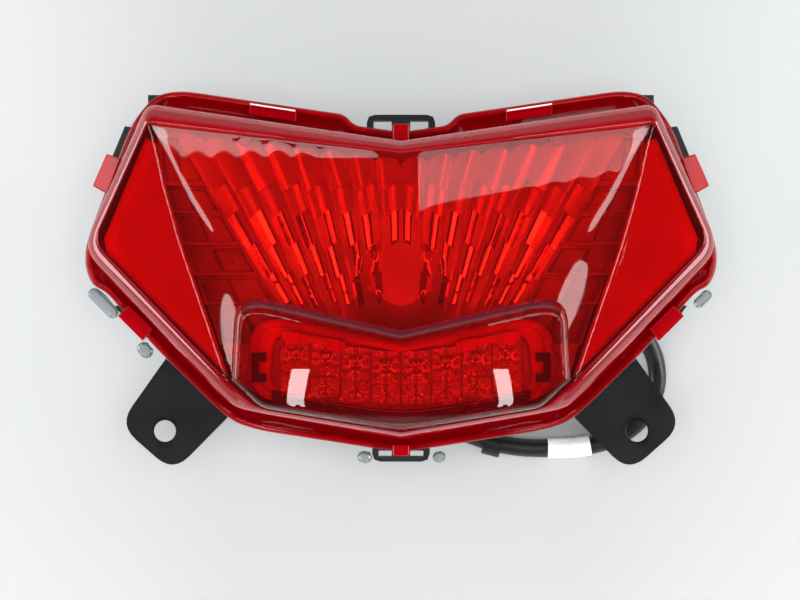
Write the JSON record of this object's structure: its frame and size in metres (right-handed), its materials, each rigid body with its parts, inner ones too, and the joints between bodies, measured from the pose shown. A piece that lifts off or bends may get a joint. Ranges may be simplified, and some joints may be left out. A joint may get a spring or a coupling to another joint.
{
  "type": "tail light",
  "caption": "Wide V-topped motorcycle tail light with a red two-part lens, fluted reflector, LED window, twist-lock bulb, two steel brackets and a wired pigtail.",
  "frame": {"origin": "the middle of the lamp's plan, on the surface that its rear skirt stands on", "axes": "+Z out of the lens, +X across the lamp, +Y to its top edge"},
  "size_m": [0.2298, 0.1374, 0.0955],
  "materials": {
    "red_lens": "transparent red moulded plastic, polished",
    "housing_black": "black moulded plastic, fine texture",
    "sealant": "milky translucent sealant",
    "chrome_reflector": "vacuum-metallised plastic",
    "red_satin": "satin red plastic",
    "black_nylon": "black nylon",
    "circuit_board": "white solder mask",
    "led_body": "red tinted LED",
    "zinc_screw": "zinc plated",
    "bulb_metal": "plated brass",
    "clear_glass": "clear glass",
    "black_rubber": "moulded rubber",
    "bracket_black": "black painted pressed steel",
    "vinyl_sleeve": "black vinyl sleeve",
    "white_tape": "white vinyl tape",
    "brass_pin": "tinned brass"
  },
  "bodies": {
    "lamp": {"bezel_clip_left": "black_nylon", "bezel_clip_right": "black_nylon", "board_screw_left": "zinc_screw", "board_screw_right": "zinc_screw", "bracket_left": "bracket_black", "bracket_right": "bracket_black", "bracket_screw_left_1": "zinc_screw", "bracket_screw_left_2": "zinc_screw", "bracket_screw_right_1": "zinc_screw", "bracket_screw_right_2": "zinc_screw", "breather_cap": "black_rubber", "cable_grommet": "black_rubber", "cable_tie": "black_nylon", "connector_pin_1": "brass_pin", "connector_pin_2": "brass_pin", "connector_pin_3": "brass_pin", "connector_shell": "black_nylon", "harness_cable_lower": "vinyl_sleeve", "harness_cable_upper": "vinyl_sleeve", "harness_tape": "white_tape", "inner_bezel": "red_satin", "led_1": "led_body", "led_2": "led_body", "led_3": "led_body", "led_4": "led_body", "led_5": "led_body", "led_6": "led_body", "led_7": "led_body", "led_8": "led_body", "led_circuit_board": "circuit_board", "led_lead": "vinyl_sleeve", "led_reflector_tray": "chrome_reflector", "main_reflector": "chrome_reflector", "outer_lens": "red_lens", "rear_housing": "housing_black", "reflector_screw_left": "zinc_screw", "reflector_screw_right": "zinc_screw", "sealant_ball_left": "sealant", "sealant_bead": "sealant", "sealant_drip_left": "sealant", "sealant_drip_right": "sealant", "sealant_lump_left": "sealant", "sealant_lump_right": "sealant", "wing_panel_left": "red_satin", "wing_panel_right": "red_satin"},
    "bulb_unit": {"bulb_holder": "black_nylon", "bulb_base": "bulb_metal", "bulb_glass": "clear_glass", "holder_gasket": "black_rubber"}
  },
  "joints": [
    {"name": "bulb_holder_twist", "type": "hinge", "parent": "lamp", "child": "bulb_unit", "pos_m": [0, 0.002, 0.012], "axis": [0, 0, -1], "range_deg": [0, 45]}
  ]
}
